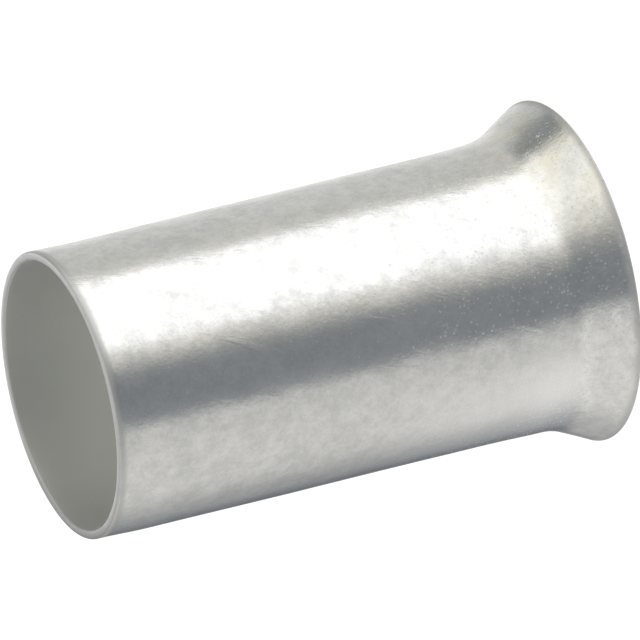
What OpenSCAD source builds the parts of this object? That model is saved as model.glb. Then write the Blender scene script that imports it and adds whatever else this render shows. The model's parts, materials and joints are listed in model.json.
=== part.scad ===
// Bare wire ferrule for a 16 square millimetre stranded conductor, 12 mm long.
//
// The real sleeve is one piece: a length of thin drawn copper tube, cut square and
// tin plated, with one end punched out into a bell mouth. The strands go in through
// the bell mouth, and the straight barrel is crimped on them and clamped in a terminal.
//
// It stands on its lip: Z = 0 is the plane of the mouth, the barrel's axis is Z, and
// the square-cut end is up. All lengths are in millimetres, and angles in degrees.

/* [Barrel] */
// Inside diameter of the barrel, which takes the bared strands
bore_d = 5.8; // [3:0.1:12]
// Thickness of the drawn wall, the same in the barrel and in the bell mouth
wall = 0.2; // [0.16:0.01:0.4]
// Overall length, from the lip to the cut end
length = 12; // [8:0.5:25]
// Radius worn on both edges of the cut end
cut_edge_r = 0.04; // [0.01:0.01:0.07]

/* [Bell mouth] */
// How far the lip stands out from the side of the barrel
mouth_flare = 0.65; // [0.55:0.05:1.2]
// Angle between the wall of the bell mouth and the axis
flare_angle = 25; // [18:1:32]
// Outside radius of the bend where the barrel turns into the bell mouth
bend_r = 2.2; // [0.6:0.1:2.6]
// Radius on both edges of the lip, which leaves a narrow flat land to stand on
lip_edge_r = 0.06; // [0.02:0.01:0.07]

/* [Hidden] */

// Smoothness: steps round a full circle, and steps along each small rounded edge
$fn = 180;
edge_steps = 5;

// How far the hollow's outline runs past the ends that it cuts open
past_end = 1;

// How much too deep the bend is cut, so that its circle crosses the straight walls
// that it runs into and does not merely touch them
bend_bite = 0.0002;

// Barrel
bore_r = bore_d / 2;
barrel_r = bore_r + wall;

// Outer edge of the lip. The slope of the bell mouth leaves this rounding at a tangent.
mouth_r = barrel_r + mouth_flare;
lip_outer = [mouth_r - lip_edge_r, lip_edge_r];
slope_start = on_circle(lip_outer, lip_edge_r, flare_angle);

// Bend, whose centre lies outside the tube. Both faces of the wall turn about it.
bend_out = bend_r * (1 - cos(flare_angle));
bend_rise = bend_r * sin(flare_angle);
slope_rise = (slope_start[0] - barrel_r - bend_out) / tan(flare_angle);
bend_centre = [barrel_r + bend_r, slope_start[1] + slope_rise + bend_rise];

// Inner edge of the lip, one edge radius inside the inner face of the slope
slope_back = on_circle(bend_centre, bend_r + wall - lip_edge_r, 180 + flare_angle);
lip_inner = [
    slope_back[0] + (slope_back[1] - lip_edge_r) * tan(flare_angle),
    lip_edge_r
];

// Rounded edges of the cut end
cut_outer = [barrel_r - cut_edge_r, length - cut_edge_r];
cut_inner = [bore_r + cut_edge_r, length - cut_edge_r];

// Point at angle a on the circle of radius r about c
function on_circle(c, r, a) = c + r * [cos(a), sin(a)];

// Points of the arc of radius r about c, from angle a1 to angle a2 in equal steps
function arc(c, r, a1, a2, steps) =
    [for (i = [0:steps]) on_circle(c, r, a1 + (a2 - a1) * i / steps)];

// Corner that an outline makes at the bend: off the slope, in to the bend's centre and
// out to the barrel. Cutting the circle of radius r out of it leaves the bend itself.
function bend_corner(r) = [
    on_circle(bend_centre, r, 180 + flare_angle),
    bend_centre,
    on_circle(bend_centre, r, 180)
];

module bend_circle(r) {
    translate(bend_centre) circle(r + bend_bite);
}

// Half section of the outer form, from the axis out to the outer face of the wall
module outer_form() {
    difference() {
        polygon(concat(
            [[0, 0]],
            arc(lip_outer, lip_edge_r, -90, flare_angle, edge_steps),
            bend_corner(bend_r),
            arc(cut_outer, cut_edge_r, 0, 90, edge_steps),
            [[0, length]]
        ));
        bend_circle(bend_r);
    }
}

// Half section of the hollow, from the axis out to the inner face of the wall
module hollow_form() {
    difference() {
        polygon(concat(
            [[-past_end, -past_end], [lip_inner[0], -past_end]],
            arc(lip_inner, lip_edge_r, 270, 180 + flare_angle, edge_steps),
            bend_corner(bend_r + wall),
            arc(cut_inner, cut_edge_r, 180, 90, edge_steps),
            [[cut_inner[0], length + past_end], [-past_end, length + past_end]]
        ));
        bend_circle(bend_r + wall);
    }
}

// The whole ferrule: its wall's section, spun about the axis
module sleeve() {
    color([0.78, 0.78, 0.76])
        rotate_extrude()
            difference() {
                outer_form();
                hollow_form();
            }
}

sleeve();
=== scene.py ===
# %% [markdown]
# # A bare wire ferrule
#
# A ferrule is a short piece of thin copper tube, tin plated, that is crimped on the
# bared end of a stranded wire. One end is cut square. The other is opened into a bell
# mouth, so that no strand catches on the rim when the wire is pushed in.
#
# The CAD model already holds the exact size of the part. This lesson loads it as a
# fixed frame, models the same wall again with the small faults of a real tube, gives
# it a satin tin finish, and lights it in a white studio tent. Lengths are in metres,
# the mouth stands on the floor at Z = 0, and the axis of the tube is Z.

# %% Load the CAD frame
import json
import math

import bmesh
import bpy
from mathutils import Matrix, Vector, noise


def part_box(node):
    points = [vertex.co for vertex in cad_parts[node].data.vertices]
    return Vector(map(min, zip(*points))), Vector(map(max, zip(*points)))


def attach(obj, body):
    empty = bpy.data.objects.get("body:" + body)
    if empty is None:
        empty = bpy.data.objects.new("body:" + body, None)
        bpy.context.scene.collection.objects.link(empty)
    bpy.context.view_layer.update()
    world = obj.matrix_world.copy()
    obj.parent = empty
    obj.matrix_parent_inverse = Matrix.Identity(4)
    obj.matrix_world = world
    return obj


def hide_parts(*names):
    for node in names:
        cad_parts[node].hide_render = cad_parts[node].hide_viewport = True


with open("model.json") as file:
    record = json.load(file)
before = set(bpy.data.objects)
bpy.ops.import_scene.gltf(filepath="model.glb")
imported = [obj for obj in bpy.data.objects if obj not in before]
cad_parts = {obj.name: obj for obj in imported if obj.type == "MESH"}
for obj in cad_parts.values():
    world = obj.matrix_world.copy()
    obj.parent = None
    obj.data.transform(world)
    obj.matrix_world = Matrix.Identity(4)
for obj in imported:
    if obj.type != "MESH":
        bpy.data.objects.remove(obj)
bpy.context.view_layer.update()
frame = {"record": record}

MM = 0.001
MICRON = 0.001 * MM

# %% [markdown]
# ## Camera
#
# The part is seen from a little above, through a long lens that hardly tapers it. The
# camera is rolled past a quarter turn, so that the standing sleeve lies along the
# picture with its mouth on the right. A camera can also be placed by hand and its
# matrix copied out, but distance, rise and roll about one point near the axis are
# plain numbers that say what they do, and each can be changed by itself.

# %% Aim the camera
CAMERA_RISE = math.radians(21.39)     # above the horizon
CAMERA_ROLL = math.radians(-103.73)   # a quarter turn, and 13.73 degrees more
CAMERA_REACH = 210.9 * MM             # from the camera to the point that it looks at
CAMERA_AIM = Vector((0.287, 0, 5.818)) * MM
CLIP_NEAR, CLIP_FAR = 0.01, 10        # nothing nearer or farther is drawn, in metres
LENS = 552.7                          # in mm, on the usual 36 mm sensor


def aim_camera(target):
    """Adds the camera, looking along +Y and down at the target."""
    camera = bpy.data.objects.new("camera", bpy.data.cameras.new("camera"))
    bpy.context.scene.collection.objects.link(camera)
    back = Vector((0, -math.cos(CAMERA_RISE), math.sin(CAMERA_RISE)))
    turn = (-back).to_track_quat("-Z", "Y").to_matrix().to_4x4()
    camera.matrix_world = (Matrix.Translation(target + back * CAMERA_REACH)
                           @ turn @ Matrix.Rotation(CAMERA_ROLL, 4, "Z"))
    camera.data.lens = LENS
    camera.data.clip_start = CLIP_NEAR
    camera.data.clip_end = CLIP_FAR
    bpy.context.scene.camera = camera
    return camera


camera = aim_camera(CAMERA_AIM)
print("camera at", [round(x / MM, 2) for x in camera.matrix_world.translation], "mm")

# %% [markdown]
# ## Sizes of the wall
#
# The lengths that other parts depend on come from the CAD model: its box gives the
# height and the mouth, and two of its mounts give the bore and the outside of the
# barrel. They could be typed in again here, but then they would stay behind when the CAD
# model changes. The other values say how this one sleeve came out of the press. Its bell
# mouth flares a little more than the drawing asks, after a tighter bend, and its barrel
# swells towards the bend by less than a tenth of a millimetre. All of it stays close to
# the CAD box.

# %% Read the sizes
node_low, node_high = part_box("sleeve")
radii = {mount["name"]: mount["dims"].get("r_mm", 0) * MM for mount in frame["record"]["mounts"]}

HEIGHT = node_high.z - node_low.z
MOUTH_R = (node_high.x - node_low.x) / 2
BARREL_R = radii["barrel_outside"]
WALL = BARREL_R - radii["wire_bore"]
FLARE = math.radians(27)              # slope of the bell mouth against the axis
BEND_R = 1.75 * MM                    # outside radius of the bend
LEAD_R = 30 * MM                      # radius of the slow curve that leads into the bend
LEAD = math.radians(3)                # how far the slow curve turns
SWELL_TOP = 0.038 * MM                # over the nominal radius, at the cut end
SWELL_BEND = 0.085 * MM               # over the nominal radius, at the foot of the barrel
SWELL_MOUTH = 0.033 * MM              # over the nominal radius, at the lip
LIP_R = 0.025 * MM                    # rounding of the lip's outer edge
print(f"height {HEIGHT / MM:.2f}, mouth {2 * MOUTH_R / MM:.2f}, barrel {2 * BARREL_R / MM:.2f},"
      f" wall {WALL / MM:.2f} mm")

# %% [markdown]
# ## Two strokes
#
# The real sleeve is drawn tube, so its outside is one line turned about the axis, and
# that line has only straight parts and arcs. It could be typed in as a list of points,
# but bmesh draws it from a single vertex: extruding the vertex makes a straight part,
# and spinning it about a centre makes a true arc. Each stroke gets a helper that takes
# the sizes a drawing would give.

# %% Define the strokes
def put(vert, x, z):
    """Places a vertex of the line, x from the axis and z above the floor."""
    vert.co = Vector((x, 0, z))
    return vert


def extrude_to(bm, vert, x, z):
    """Draws a straight part from the vertex to a new one."""
    return put(bmesh.ops.extrude_vert_indiv(bm, verts=[vert])["verts"][0], x, z)


def arc_from(bm, vert, slope, radius, turn, steps):
    """Draws an arc that leaves the vertex at a slope from the axis and turns upright."""
    centre = vert.co + Vector((math.cos(slope), 0, math.sin(slope))) * radius
    return bmesh.ops.spin(bm, geom=[vert], cent=centre, axis=(0, 1, 0), angle=turn,
                          steps=steps)["geom_last"][0]


print("a line can run straight, or along an arc")

# %% [markdown]
# ## The line of the wall
#
# Up from the mouth come the straight slope, the tight bend, a slow curve where the metal
# began to give before the bend, and the barrel, which narrows slightly to the cut end.
# Each part starts where the one before it ends, and in nearly the same direction, so
# the metal shows no crease. The line runs on past both ends, because they are cut
# square later, and its vertices keep clear of the upper cut, so that the rounding there
# has room.

# %% Draw the line
BEYOND = 0.2 * MM                     # how far the line runs on past each end
RIM_CLEAR = 0.2 * MM                  # no vertex of the line is nearer to the cut than this
BEND_STEPS, LEAD_STEPS = 14, 12       # edges along each arc
BARREL_STEPS, SLOPE_STEPS = 64, 8     # edges along each long straight part

# The rounded lip is as wide as the mouth, and the slope leaves it at a tangent.
mouth_r = MOUTH_R + SWELL_MOUTH
foot_r = mouth_r - LIP_R + LIP_R * (1 + math.sin(FLARE)) / math.cos(FLARE)
bend_out = BEND_R * (math.cos(LEAD) - math.cos(FLARE)) + LEAD_R * (1 - math.cos(LEAD))
bend_r = BARREL_R + SWELL_BEND + bend_out
bend_z = (foot_r - bend_r) / math.tan(FLARE)

bm = bmesh.new()
start = put(bm.verts.new(), foot_r + BEYOND * math.tan(FLARE), -BEYOND)
bend_start = extrude_to(bm, start, bend_r, bend_z)
lead_start = arc_from(bm, bend_start, FLARE, BEND_R, FLARE - LEAD, BEND_STEPS)
barrel_start = arc_from(bm, lead_start, LEAD, LEAD_R, LEAD, LEAD_STEPS)
flare_high = barrel_start.co.z
barrel_end = extrude_to(bm, barrel_start, BARREL_R + SWELL_TOP, HEIGHT - RIM_CLEAR)
extrude_to(bm, barrel_end, BARREL_R + SWELL_TOP, HEIGHT + BEYOND)

# The two long straight parts are cut up evenly, because the dents need vertices to move.
by_length = sorted(bm.edges, key=lambda edge: edge.calc_length())
barrel_line, slope_line = by_length[-1], by_length[-2]
bmesh.ops.subdivide_edges(bm, edges=[barrel_line], cuts=BARREL_STEPS - 1)
bmesh.ops.subdivide_edges(bm, edges=[slope_line], cuts=SLOPE_STEPS - 1)
print("line of", len(bm.verts), "vertices; straight barrel from",
      round(flare_high / MM, 2), "mm up")

# %% [markdown]
# ## The thin wall
#
# A full spin with its ends merged makes a closed skin. Its normals are set outwards
# while it is still one layer, and then Solidify gives it the wall inwards, as even as
# drawn tube is. Lathing both faces of the wall would also work, but the thickness
# would then be hidden in two lists of numbers.

# %% Spin the line and give it a wall
AROUND = 256                          # steps round the full circle

bmesh.ops.spin(bm, geom=bm.verts[:] + bm.edges[:], cent=(0, 0, 0), axis=(0, 0, 1),
               angle=math.tau, steps=AROUND, use_merge=True)
bmesh.ops.recalc_face_normals(bm, faces=bm.faces[:])
bmesh.ops.solidify(bm, geom=bm.faces[:], thickness=WALL)
print("wall of", len(bm.faces), "faces")

# %% [markdown]
# ## Lip and cut end
#
# Both ends are square to the axis, so a plane trims each, and bridging the two rings
# that it leaves open closes the wall again. Every edge of thin plated tube is rounded a
# little, because the plating runs over it. The rounding is small, but it mirrors another
# part of the room than the wall beside it does, and so it outlines both ends. Bump only
# tilts the light on a face that is there already, and a sharp edge has no face, so the
# rounding is modelled, as a bevel.

# %% Trim, close and round the rims
CUT_R = 0.06 * MM                     # rounding of the cut end's outer edge
INNER_R = 0.05 * MM                   # rounding of the inner edges
RIM_STEPS = 5                         # faces across each rounding
TINY = 1e-7                           # a shorter length than this counts as none
SQUARE = math.radians(90)


def ring(bm, z, pick):
    """Edges of the widest ring at a height, with pick = max, or of the narrowest, with min."""
    level = [edge for edge in bm.edges if all(abs(vert.co.z - z) < TINY for vert in edge.verts)]
    wanted = pick(edge.verts[0].co.xy.length for edge in level)
    return [edge for edge in level
            if all(abs(vert.co.xy.length - wanted) < TINY for vert in edge.verts)]


def round_ring(bm, z, pick, radius, corner):
    """Rounds a ring where two faces meet at the corner angle."""
    bmesh.ops.bevel(bm, geom=ring(bm, z, pick), offset=radius / math.tan(corner / 2),
                    offset_type="OFFSET", segments=RIM_STEPS, profile=0.5,
                    affect="EDGES", material=-1)


def face_off(bm, z, outward):
    """Trims the tube square at a height, and closes the wall there."""
    bmesh.ops.bisect_plane(bm, geom=bm.verts[:] + bm.edges[:] + bm.faces[:], dist=TINY / 10,
                           plane_co=(0, 0, z), plane_no=outward, clear_outer=True)
    bmesh.ops.bridge_loops(bm, edges=[edge for edge in bm.edges if edge.is_boundary])


face_off(bm, 0, (0, 0, -1))
face_off(bm, HEIGHT, (0, 0, 1))
round_ring(bm, 0, max, LIP_R, SQUARE - FLARE)
round_ring(bm, 0, min, INNER_R, SQUARE + FLARE)
round_ring(bm, HEIGHT, max, CUT_R, SQUARE)
round_ring(bm, HEIGHT, min, INNER_R, SQUARE)
bmesh.ops.recalc_face_normals(bm, faces=bm.faces[:])
print("open edges:", sum(not edge.is_manifold for edge in bm.edges),
      " volume:", round(bm.calc_volume() / MM ** 3, 2), "mm3")

# %% [markdown]
# ## The faults of a real tube
#
# No drawn tube is perfect. The punch that opened this one, called a drift, went in a
# little off the axis, so the whole mouth sits to one side. The saw pushed the other end
# over by a few hundredths of a millimetre. Tumbling with thousands of others left dents
# a few microns deep, which are too shallow to see as shapes but bend the reflections,
# and that is what makes metal look real. A Displace modifier could make the dents, but
# here each vertex is moved once, by all the faults together, which keeps them in one
# place and lets the dents die out before the rims.

# %% Bend the perfect shape a little
DRIFT_OFF = Vector((0.075, 0.11, 0)) * MM     # how far the mouth sits off the axis
MOUTH_HIGH = 1.9 * MM                         # how much of the mouth moved with the drift
SAW_OFF = Vector((0.030, 0, 0)) * MM          # how far the saw pushed the other end
SAW_HIGH = 1.3 * MM                           # how much of the end it pushed
WAVE, WAVE_SIZE = 0.006 * MM, 3.2 * MM        # depth and size of the wide waves
DENT, DENT_SIZE = 0.0035 * MM, 0.9 * MM       # depth and size of the small dents
CALM = 0.3 * MM                               # both die out over this length at each rim


def ease(x):
    """0 below 0, 1 above 1, and a soft step between."""
    x = min(max(x, 0), 1)
    return x * x * (3 - 2 * x)


for vert in bm.verts:
    place = vert.co.copy()
    flared = ease(1 - place.z / MOUTH_HIGH)
    sawn = ease((place.z - HEIGHT) / SAW_HIGH + 1)
    outward = Vector((place.x, place.y, 0)).normalized()
    wave = noise.noise(place / WAVE_SIZE) * WAVE + noise.noise(place / DENT_SIZE) * DENT
    inland = ease(place.z / CALM) * ease((HEIGHT - place.z) / CALM)
    vert.co = place + DRIFT_OFF * flared + SAW_OFF * sawn + outward * wave * inland
print("mouth", round(DRIFT_OFF.length / MM, 3), "mm off the axis, dents up to",
      round((WAVE + DENT) / MICRON, 1), "microns")

# %% [markdown]
# ## One finished piece
#
# The material needs to know which faces lie in the bore, because the plating there is
# duller. A second material would do, but it would end in a hard line. Instead a number
# is stored on each vertex, 1 where its normal points at the axis, and the material can
# fade from one finish to the other over the rim. Smooth shading hides the facets, and
# the rings of the rims are narrow enough to keep their crisp look.

# %% Make the mesh object
FACES_IN = -0.5                       # how much a normal points outwards, at most, in the bore

bore_side = bm.verts.layers.float.new("bore_side")
for vert in bm.verts:
    outward = Vector((vert.co.x, vert.co.y, 0)).normalized()
    vert[bore_side] = float(vert.normal.dot(outward) < FACES_IN)

mesh = bpy.data.meshes.new("tin_sleeve")
bm.to_mesh(mesh)
bm.free()
mesh.shade_smooth()
sleeve = bpy.data.objects.new("tin_sleeve", mesh)
bpy.context.scene.collection.objects.link(sleeve)
print("sleeve of", len(mesh.polygons), "faces, box in mm:",
      [round(side / MM, 3) for side in sleeve.dimensions])

# %% [markdown]
# ## Shader maths as plain expressions
#
# A finish is mostly arithmetic on patterns. Wiring Math nodes by hand hides it, so this
# small class wraps one output socket and lets Python's operators add the nodes. Each
# operator has a reflected form, which Python uses when a plain number stands first, as
# in 1 - mask. Sums of plain numbers never reach the class. Colours are mixed and never
# added, because a Math node would turn them grey. One method makes every node, so there
# is one place to look when a link is wrong.

# %% Wrap a socket
class Signal:
    """A value on its way through a node tree."""

    def __init__(self, tree, socket=None):
        self.tree, self.socket = tree, socket

    def node(self, kind, settings, sockets, out=0):
        """Adds any node. Its settings are made first, and then its sockets are filled."""
        made = self.tree.nodes.new(kind)
        for name, value in settings.items():
            setattr(made, name, value)
        for name, value in sockets.items():
            if isinstance(value, Signal):
                self.tree.links.new(value.socket, made.inputs[name])
            else:
                made.inputs[name].default_value = value
        return Signal(self.tree, made.outputs[out] if len(made.outputs) else None)

    def other(self, name):
        """Another output of the node that this value comes from."""
        return Signal(self.tree, self.socket.node.outputs[name])

    def math(self, operation, *values):
        """A Math node on signals or plain numbers, in the order of its sockets."""
        return self.node("ShaderNodeMath", {"operation": operation}, dict(enumerate(values)))

    def mix(self, first, second):
        """The first colour where this value is 0, and the second where it is 1."""
        # A Mix node has sockets for every type of value, and these are the ones for colours.
        return self.node("ShaderNodeMix", {"data_type": "RGBA"}, {0: self, 6: first, 7: second}, 2)

    def step(self, low, high):
        """A soft step from 0 at low to 1 at high."""
        return self.node("ShaderNodeMapRange", {"interpolation_type": "SMOOTHSTEP"},
                         {"Value": self, "From Min": low, "From Max": high})

    def fall(self, low, high):
        """A soft step from 1 at low to 0 at high."""
        return 1 - self.step(low, high)

    def __add__(self, value):
        return self.math("ADD", self, value)

    def __radd__(self, value):
        return self.math("ADD", value, self)

    def __sub__(self, value):
        return self.math("SUBTRACT", self, value)

    def __rsub__(self, value):
        return self.math("SUBTRACT", value, self)

    def __mul__(self, value):
        return self.math("MULTIPLY", self, value)

    def __rmul__(self, value):
        return self.math("MULTIPLY", value, self)


print("a signal can add, subtract, multiply, mix, step and fall")

# %% [markdown]
# ## Tin plate
#
# The sleeve is copper under a few microns of electroplated tin, a warm white metal that
# is satin when new and gets duller with handling. A Principled shader with Metallic at 1
# needs only a colour and a roughness for it. What makes it look real is how the two
# change from place to place, so the patterns are worked out first, one by one, and they
# are joined at the end. All of them lie on Object coordinates in millimetres, so that
# the size of a pattern is a real size and stays the same whatever the mesh is.

# %% Start the tin plate material
TOP_MM = HEIGHT / MM


def empty_tree(owner):
    """The node tree of a material or a world, with nothing in it."""
    owner.use_nodes = True
    owner.node_tree.nodes.clear()
    return Signal(owner.node_tree)


tin = bpy.data.materials.new("tin_plate")
s = empty_tree(tin)

metres = s.node("ShaderNodeTexCoord", {}, {}, "Object")
spot = s.node("ShaderNodeVectorMath", {"operation": "SCALE"}, {"Vector": metres, "Scale": 1 / MM})
height_mm = s.node("ShaderNodeSeparateXYZ", {}, {"Vector": spot}, "Z")
across_mm = height_mm.other("X")
deep_mm = height_mm.other("Y")
in_bore = s.node("ShaderNodeAttribute", {"attribute_name": "bore_side"}, {}, "Fac")


def below_cut(far, near):
    """A soft step up the tube, from 0 at far below the cut end to 1 at near below it, in mm."""
    return height_mm.step(TOP_MM - far, TOP_MM - near)


print("patterns run from height 0 to", round(TOP_MM, 2), "mm")

# %% [markdown]
# ## Clouds, scuffs and grain
#
# Tumbled tin is never one tone. Soft clouds a millimetre across show where sleeves
# rubbed each other, a finer mottle is the plating's own, and thin scuffs lie across
# both. A painted image could hold them, but noise has no seam, and its detail doesn't
# run out close up. The soft step after each noise says how much of the surface it takes.
# Scuffs are the same noise, turned and pulled out along a line. The grain is the finest:
# it is only felt in the relief, and it softens every reflection.

# %% Lay the clouds, scuffs and grain
CLOUD, MOTTLE, SCUFF, GRAIN = 1.1, 0.42, 0.35, 0.09     # size of each, in mm
SCUFF_TURN = 24                                         # away from the axis, in degrees
SCUFF_PULL = (1, 1, 7)                                  # how much longer it is than wide


def cloud(size, detail=2.0, rough=0.5, at=spot):
    """Noise from 0 to 1 whose blots are about one size across, in millimetres."""
    return s.node("ShaderNodeTexNoise", {},
                  {"Vector": at, "Scale": 1 / size, "Detail": detail, "Roughness": rough})


def turned(angle, stretch):
    """The spot, turned and pulled out, for patterns that run along a line."""
    turns = (0, math.radians(angle), math.radians(angle / 2))
    return s.node("ShaderNodeMapping", {"vector_type": "TEXTURE"},
                  {"Vector": spot, "Rotation": turns, "Scale": stretch})


rubbed = cloud(CLOUD, detail=3.0, rough=0.6).step(0.35, 0.68)
mottle = cloud(MOTTLE, detail=4.0, rough=0.85).step(0.30, 0.70)
scuff = cloud(SCUFF, detail=3.0, rough=0.6, at=turned(SCUFF_TURN, SCUFF_PULL)).step(0.54, 0.72)
grain = cloud(GRAIN, detail=1.0, rough=0.6)
print("clouds, scuffs and grain:", len(s.tree.nodes), "nodes so far")

# %% [markdown]
# ## Pits
#
# Specks of about a tenth of a millimetre are scattered over the sleeve, and most of them
# are near the mouth, where the drift stretched the plating. Voronoi cells place them
# without a list: each cell draws a lot, and the lot says whether it holds a pit. Two
# sizes laid over each other look less regular than one.

# %% Scatter the pits
FINE_PIT, WIDE_PIT = 0.075, 0.12      # size of a cell, in mm
PIT_WIDE = 0.55                       # radius of a pit, as a share of its cell
ANYWHERE = 0.4                        # pits everywhere, as a share of those that the mouth adds
near_mouth = height_mm.fall(1.0, 7.0)


def pits(size, share):
    """Round pits in some of the cells of a pattern. They grow commoner near the mouth."""
    cell = s.node("ShaderNodeTexVoronoi", {}, {"Vector": spot, "Scale": 1 / size}, "Distance")
    lot = s.node("ShaderNodeSeparateColor", {}, {"Color": cell.other("Color")}, "Red")
    chosen = (near_mouth * share + share * ANYWHERE - lot).step(0, 0.3)
    return cell.fall(0.0, PIT_WIDE) * chosen


etched = pits(FINE_PIT, 0.35) + pits(WIDE_PIT, 0.15)
print("pits:", len(s.tree.nodes), "nodes so far")

# %% [markdown]
# ## Worn rims and painted shade
#
# Edges rub first. The last tenths of a millimetre at both ends are dulled to a matt ring,
# and a narrow band within each is darkened with painted shade. Both rims are level, so
# height alone finds them, and no mask has to be painted. The painted shade on the lip
# wavers a little, because some noise is added to the height before the step. One side
# of the cut face itself is darkened with painted shade too.

# %% Wear the rims and paint shade on them
LIP_WAVER = 0.16                      # how much the edge of the lip's painted shade wavers, in mm
SHADE_X, SHADE_Y = -0.87, 0.5             # towards the side of the cut face that gets painted shade

worn_rim = below_cut(0.20, 0.04) + height_mm.fall(0.02, 0.22)
# Painted shade along the lip's rounding, its edge made uneven with noise.
lip_high = height_mm + LIP_WAVER * (cloud(0.5) - 0.5)
lip_shade = lip_high.fall(0.05, 0.20)
# Painted shade in a narrow band just below the cut end.
cut_band_shade = below_cut(0.22, 0.10) * (1 - below_cut(0.05, 0))
# Painted shade on one side of the cut face.
shaded_side = (SHADE_Y * deep_mm + SHADE_X * across_mm).step(1.6, 2.9)
cut_face_shade = below_cut(0.06, 0.01) * shaded_side
print("worn rims:", len(s.tree.nodes), "nodes so far")

# %% [markdown]
# ## Film and painted highlight
#
# Two large patches are left. On one side of the mouth the plating bath dried to a thin
# yellowish film, broken up like the mottle. The other side is lightened with a painted
# highlight, most of all along the bend. Each is a product of soft steps, along the tube
# and across it, so it fades out on all sides and leaves no line. The limits of those
# steps are in millimetres, up the tube and across it.

# %% Lay the film and the bright patches
film_side = across_mm.step(0.5, 2.5)
film_high = height_mm.fall(0.8, 2.8)
film = cloud(0.5, detail=4.0, rough=0.7).step(0.42, 0.62) * film_high * film_side

# Painted highlight: one side of the flare and barrel is made lighter, most of all along the bend.
bright_side = across_mm.fall(-2.7, -1.3)
bright_high = height_mm.step(1.0, 1.5) * height_mm.fall(2.8, 7.0)
painted_highlight = bright_side * bright_high

bend_side = across_mm.fall(-2.0, -1.2)
bend_high = height_mm.step(1.0, 1.35) * height_mm.fall(1.5, 3.0)
bend_highlight = bend_side * bend_high
print("film and bright patches:", len(s.tree.nodes), "nodes so far")

# %% [markdown]
# ## Colour of the plating
#
# The colour is a chain of mixes, from the widest pattern to the narrowest: clean tin to
# dull tin by the tarnish, then the film, the painted highlight and the painted shade at
# the rims. The number before a pattern says how much of the new tone it brings at its
# fullest. The bore was never tumbled, and it stays matt and slightly green. Near the cut
# end it is darkened with painted shade. Mixing leaves every tone between two real ones,
# which adding and multiplying colours would not.

# %% Colour the outside and the bore
TIN = (0.82, 0.82, 0.805, 1)
TIN_DULL = (0.60, 0.605, 0.595, 1)
TIN_FILM = (0.74, 0.72, 0.625, 1)
# The tone of the painted highlight.
TIN_HIGHLIGHT = (0.95, 0.95, 0.945, 1)
# The tone of the painted shade at both rims.
TIN_SHADED = (0.50, 0.50, 0.49, 1)
BORE_TIN = (0.855, 0.86, 0.835, 1)
# The darker bore tone is painted shade near the cut end.
BORE_SHADED = (0.65, 0.655, 0.64, 1)
BORE_SHADE_DEPTH = 2.4                        # how far down the bore the painted shade reaches, in mm

tarnish = (0.12 * rubbed + 0.1 * scuff + 0.75 * mottle) * (1 - 0.7 * worn_rim)
skin = tarnish.mix(TIN, TIN_DULL)
skin = (0.8 * film).mix(skin, TIN_FILM)
# The painted highlight lightens the tin on one side.
skin = (0.65 * painted_highlight + 0.40 * bend_highlight).mix(skin, TIN_HIGHLIGHT)
# Painted shade at both rims darkens the tin.
skin = (0.8 * cut_band_shade + 0.8 * cut_face_shade + 0.65 * lip_shade).mix(skin, TIN_SHADED)
# Painted shade: the bore is darkened towards the cut end.
bore_tint_and_shade = below_cut(BORE_SHADE_DEPTH, 0).mix(BORE_TIN, BORE_SHADED)
colour = in_bore.mix(skin, bore_tint_and_shade)
print("colour:", len(s.tree.nodes), "nodes so far")

# %% [markdown]
# ## Roughness, relief and the shader
#
# Roughness adds up, because each pattern scatters the light a little more. The relief
# is about a micron deep, and it feeds a Bump node: such fine grain would need millions
# of faces as geometry. Its Distance of 1 takes the height as it is, in metres. The
# Principled shader then takes colour, roughness and bump, and nothing else changes over
# the surface.

# %% Join the patterns into the finish
ROUGH_TIN = 0.16                      # clean tin, before any pattern
ROUGH_BORE = 0.60                     # plating that was never tumbled

roughness = (ROUGH_TIN + 0.05 * rubbed + 0.04 * scuff + 0.06 * mottle + 0.24 * etched
             + 0.28 * worn_rim)
roughness = roughness * (1 - in_bore) + ROUGH_BORE * in_bore

relief_mm = 0.0011 * grain + 0.0012 * mottle + 0.0015 * scuff - 0.0008 * etched
bump = s.node("ShaderNodeBump", {},
              {"Height": relief_mm * MM, "Distance": 1.0, "Strength": 1.0})

shader = s.node("ShaderNodeBsdfPrincipled", {},
                {"Base Color": colour, "Metallic": 1.0, "Roughness": roughness, "Normal": bump})
s.node("ShaderNodeOutputMaterial", {}, {"Surface": shader})
sleeve.data.materials.append(tin)
print("tin plate made of", len(s.tree.nodes), "nodes")

# %% [markdown]
# ## Join the piece to the frame
#
# The solid could be given the tin finish as it is, but it has none of this tube's
# faults. So the new piece stands for the CAD solid and rides on the same body. The solid
# stays in the frame for collision, and it is no longer shown.

# %% Replace the CAD node
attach(sleeve, "root")
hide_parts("sleeve")
print(sleeve.name, "stands for the CAD node sleeve")

# %% [markdown]
# ## Floor
#
# The sleeve stands on a plain sheet. Bright metal would mirror it and lose its dark
# bands, so the floor is left out of reflections. It casts no shadow either, and so the
# light that comes from below reaches the metal. Product pictures get the same look with
# a sheet of glass high above lit paper, but here one sheet is enough.

# %% Add the floor
FLOOR_SIZE = 60 * HEIGHT

floor_bm = bmesh.new()
bmesh.ops.create_grid(floor_bm, x_segments=1, y_segments=1, size=FLOOR_SIZE / 2)
floor_mesh = bpy.data.meshes.new("floor")
floor_bm.to_mesh(floor_mesh)
floor_bm.free()
floor = bpy.data.objects.new("floor", floor_mesh)
bpy.context.scene.collection.objects.link(floor)
floor.visible_glossy = False
floor.visible_shadow = False
print("floor", round(FLOOR_SIZE, 2), "m across")

# %% [markdown]
# ## White paper
#
# The sheet is as bright as the background and holds no shadow, so that nothing draws
# the eye away from the metal. Strong lamps alone would leave the sleeve's shadow on it.
# So the paper glows by itself, like a light table, and its own tone is dark enough to
# hide what shade is left.

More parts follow.
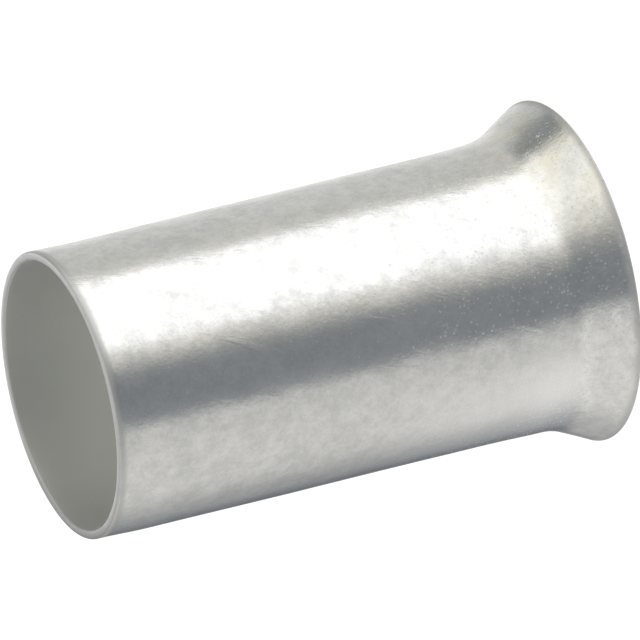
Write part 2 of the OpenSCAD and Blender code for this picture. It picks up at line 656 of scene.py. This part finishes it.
# %% Make the paper glow
PAPER = (0.1, 0.1, 0.1, 1)
GLOW = (1, 1, 1, 1)
GLOW_STRENGTH = 0.97

paper = bpy.data.materials.new("white_paper")
s = empty_tree(paper)
matt = s.node("ShaderNodeBsdfPrincipled", {},
              {"Base Color": PAPER, "Roughness": 0.9, "Specular IOR Level": 0.0,
               "Emission Color": GLOW, "Emission Strength": GLOW_STRENGTH})
s.node("ShaderNodeOutputMaterial", {}, {"Surface": matt})
floor.data.materials.append(paper)
print("paper glows at", GLOW_STRENGTH, "of white")

# %% [markdown]
# ## Studio tent
#
# Satin metal has hardly any colour of its own: it shows what stands around it. Around
# this part are a large softbox on one side, white cards, and dark gaps between them,
# and they run along the tube as bands of light. Lamps and glowing planes could be hung
# there one by one. The tent is drawn in the world shader instead, as panels in azimuth
# and height about the part, because a panel costs almost nothing to render there and
# its edge can be as soft as it needs to be. First the direction of a ray is turned into
# two angles. Azimuth 0 is the camera's side, and 90 is +X.

# %% Find the direction in the tent
tent = bpy.data.worlds.new("studio_tent")
bpy.context.scene.world = tent
s = empty_tree(tent)
toward = s.node("ShaderNodeSeparateXYZ", {},
                {"Vector": s.node("ShaderNodeTexCoord", {}, {}, "Generated")}, "X")
azimuth = s.math("ARCTAN2", toward, toward.other("Y") * -1) * math.degrees(1)
rise = s.math("ARCSINE", toward.other("Z")) * math.degrees(1)
print("directions are in degrees, from the world's own Generated vector")

# %% [markdown]
# ## Panels of the tent
#
# A panel is a patch in azimuth and height whose four sides are soft, as the light of a
# softbox is towards its edges. Each has a tone, two ends in azimuth and two in height,
# and every end is a pair: its angle, and the angle over which it fades. One large
# softbox would be simpler, but the tube mirrors the whole room round it, and with one
# light it would look like plastic.

# %% List the panels
GAP = (0.231, 0.250, 0.269, 1)        # the dark tent between the panels
BACK = (-200, 1)                      # before the first azimuth, which is -180
SEAM = (180, 1)                       # at the last one, straight behind the part
PAST_SEAM = (200, 1)                  # past the last one
DOWN = (-95, 1)                       # lower than straight down
UP = (95, 1)                          # higher than straight up

PANELS = (
    # tone, then from and to in azimuth, then from and to in height
    ((0.60, 0.60, 0.58, 1), BACK, PAST_SEAM, DOWN, (-60, 12)),                 # below
    ((0.95, 0.95, 0.93, 1), BACK, PAST_SEAM, (-60, 12), (-32, 8)),             # low cards
    ((0.42, 0.42, 0.42, 1), (-34, 12), (14, 16), (-60, 12), (-32, 8)),         # gap in them
    ((0.58, 0.58, 0.58, 1), BACK, PAST_SEAM, (42, 12), UP),                    # ceiling
    ((0.665, 0.658, 0.645, 1), (-128, 74), (-37, 12), (-36, 12), (40, 20)),    # left card
    ((0.725, 0.718, 0.70, 1), (-106, 40), (-62, 40), (-36, 12), (40, 20)),     # its middle
    ((0.82, 0.81, 0.785, 1), (-128, 56), (-32, 16), (-12, 12), (36, 24)),      # its upper part
    ((0.94, 0.93, 0.91, 1), (-114, 26), (-50, 24), (-14, 10), (-4, 10)),       # its bright rim
    ((0.55, 0.55, 0.54, 1), BACK, (-134, 30), (-14, 8), (10, 20)),             # its far end
    ((0.12, 0.125, 0.135, 1), BACK, (-157, 26), (-28, 6), (-17, 8)),           # dark corner
    ((0.65, 0.65, 0.62, 1), (94, 8), SEAM, (-36, 12), (-11, 13)),              # rear card
    ((0.70, 0.70, 0.68, 1), (121, 28), SEAM, (-36, 12), (6, 20)),              # its far part
    ((0.98, 0.98, 0.96, 1), (158, 36), SEAM, (-36, 12), (8, 20)),              # its bright end
    ((0.98, 0.98, 0.96, 1), BACK, (-173, 12), (-28, 6), (-14, 8)),             # round the corner
    ((1.00, 1.00, 0.99, 1), (150, 20), PAST_SEAM, (8, 16), (46, 12)),          # card behind
    ((0.26, 0.26, 0.26, 1), BACK, (-152, 24), (-10, 10), (46, 12)),            # its dark half
    ((0.73, 0.71, 0.65, 1), (10, 18), (97, 6), (-36, 12), (-6, 16)),           # softbox edge, low
    ((0.90, 0.87, 0.78, 1), (21, 30), (100, 9), (-8, 16), (36, 24)),           # the same, high
    ((1.15, 1.13, 1.07, 1), (38, 28), (96, 8), (-8, 16), (36, 24)),            # softbox, high
    ((1.30, 1.29, 1.27, 1), (36, 28), (92, 7), (-16, 12), (4, 14)),            # its middle
    ((1.52, 1.52, 1.52, 1), (25, 22), (90, 8), (-38, 12), (-11, 12)),          # softbox, low
)
print(len(PANELS), "panels for the tent")

# %% [markdown]
# ## Hanging the panels
#
# The panels are laid over each other in the order of the list, so a later one covers an
# earlier one where both hang. Adding their light up would be shorter, but then a dark
# card could not hang in front of a bright one, as it does in a studio. The mix needs a
# mask of each panel, which is the product of one soft patch in azimuth and one in height.

# %% Hang the panels
def between(value, low, high):
    """1 between low and high, each given with the softness of its edge, and 0 outside."""
    (start, start_soft), (end, end_soft) = low, high
    risen = value.step(start - start_soft / 2, start + start_soft / 2)
    return risen * value.fall(end - end_soft / 2, end + end_soft / 2)


light = GAP
for tone, left, right, bottom, top in PANELS:
    light = (between(azimuth, left, right) * between(rise, bottom, top)).mix(light, tone)
print("tent made of", len(s.tree.nodes), "nodes")

# %% [markdown]
# ## Background and lamp
#
# The camera sees plain white wherever the floor ends, and all other rays see the tent.
# A world of one colour could not do both, but the Light Path node tells the two kinds
# of ray apart. The floor's glow alone falls a little short of white, and a wide soft
# lamp overhead makes up for it. The lamp is left out of reflections, so that only the
# tent draws on the metal.

# %% Finish the world and hang the lamp
WHITE = (1, 1, 1, 1)
LAMP_HIGH, LAMP_WIDE = 0.4, 0.5       # in metres
LAMP_POWER = 2.0                      # in watts

seen = s.node("ShaderNodeLightPath", {}, {}, "Is Camera Ray")
backdrop = s.node("ShaderNodeBackground", {}, {"Color": seen.mix(light, WHITE)})
s.node("ShaderNodeOutputWorld", {}, {"Surface": backdrop})

lamp = bpy.data.objects.new("lamp", bpy.data.lights.new("lamp", "AREA"))
bpy.context.scene.collection.objects.link(lamp)
lamp.location = (0, 0, LAMP_HIGH)
lamp.data.size = LAMP_WIDE
lamp.data.energy = LAMP_POWER
lamp.visible_glossy = False
print("lamp of", LAMP_POWER, "W,", LAMP_HIGH, "m above the floor")

# %% [markdown]
# ## Picture settings
#
# The plain view transform keeps white paper white and metal neutral, as a product
# picture does. A filmic one would grey the background and flatten the bands. Light in
# the bore is passed on many times before it comes out, so it is followed for more
# bounces than usual.

# %% Set the view and the bounces
BOUNCES, GLOSSY_BOUNCES = 16, 12

scene = bpy.context.scene
scene.view_settings.view_transform = "Standard"
scene.cycles.max_bounces = BOUNCES
scene.cycles.glossy_bounces = GLOSSY_BOUNCES
print("up to", BOUNCES, "bounces,", GLOSSY_BOUNCES, "of them on metal")
